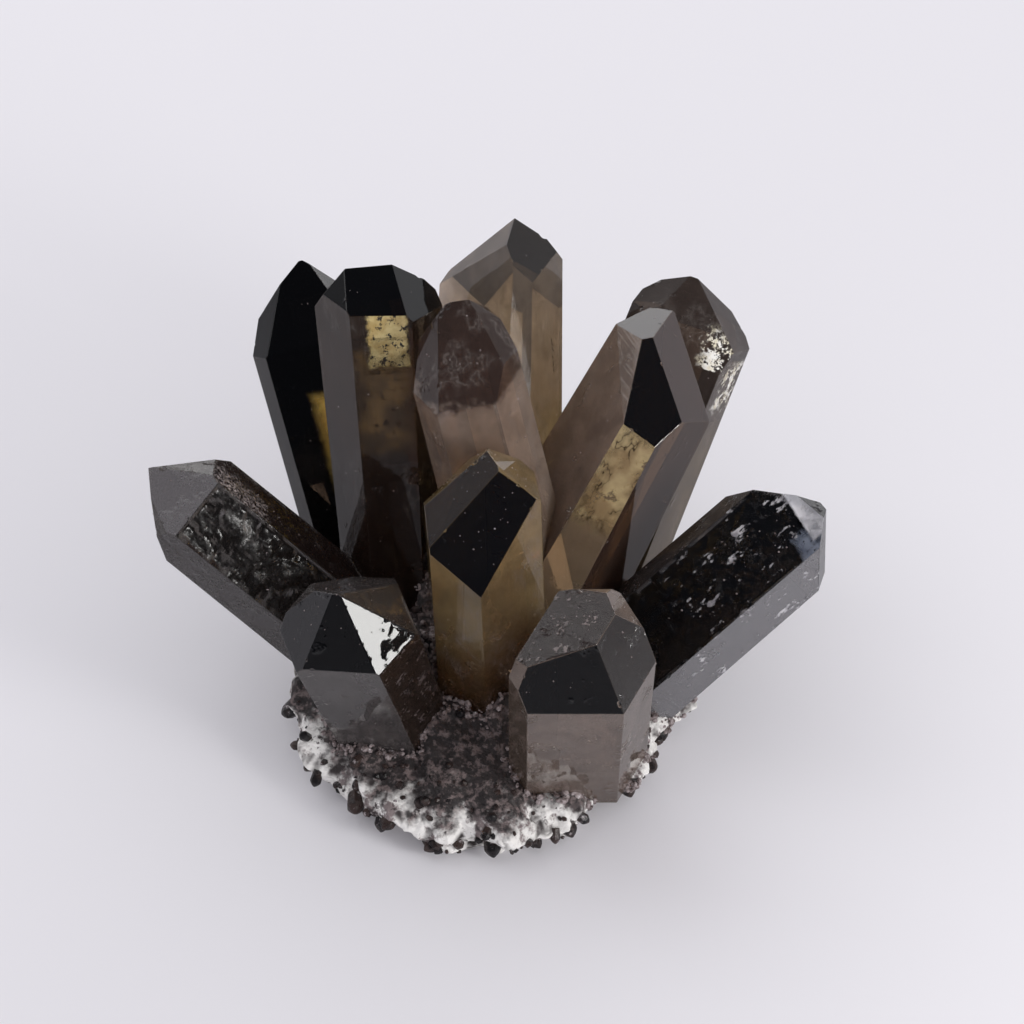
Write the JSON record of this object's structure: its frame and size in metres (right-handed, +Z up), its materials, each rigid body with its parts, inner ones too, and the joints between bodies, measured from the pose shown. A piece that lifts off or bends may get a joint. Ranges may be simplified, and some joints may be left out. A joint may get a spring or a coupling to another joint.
{
  "type": "smoky phantom quartz cluster",
  "caption": "Cluster of smoky quartz crystals with phantoms, radiating from a lump of rock with a crust of small dark druse crystals, cut flat below to stand.",
  "frame": {"origin": "middle of the rock's flat underside", "axes": "+Z up from the underside, -Y the front, +X to the right seen from the front"},
  "size_m": [0.1041, 0.0841, 0.0732],
  "materials": {
    "rock": "rough cream and mauve-grey rock with a crust of small dark druse crystals",
    "golden_smoky_quartz": "clear smoky quartz, golden brown inside, glossy flat faces",
    "pale_smoky_quartz": "clear pale smoky quartz with phantom bands, glossy flat faces",
    "grey_smoky_quartz": "smoky quartz, grey-brown, glossy and partly etched faces",
    "dark_smoky_quartz": "dark brown smoky quartz, glossy flat faces",
    "black_smoky_quartz": "nearly black smoky quartz with etched and pitted faces"
  },
  "bodies": {
    "root": {"matrix": "rock", "crystal_centre_front": "golden_smoky_quartz", "crystal_front_right": "pale_smoky_quartz", "crystal_front_left": "grey_smoky_quartz", "crystal_back_left_inner": "dark_smoky_quartz", "crystal_upper_centre": "pale_smoky_quartz", "crystal_back_right_inner": "golden_smoky_quartz", "crystal_left": "black_smoky_quartz", "crystal_right": "black_smoky_quartz", "crystal_back_centre": "pale_smoky_quartz", "crystal_back_right_outer": "grey_smoky_quartz", "crystal_back_left_outer": "dark_smoky_quartz"}
  },
  "joints": []
}
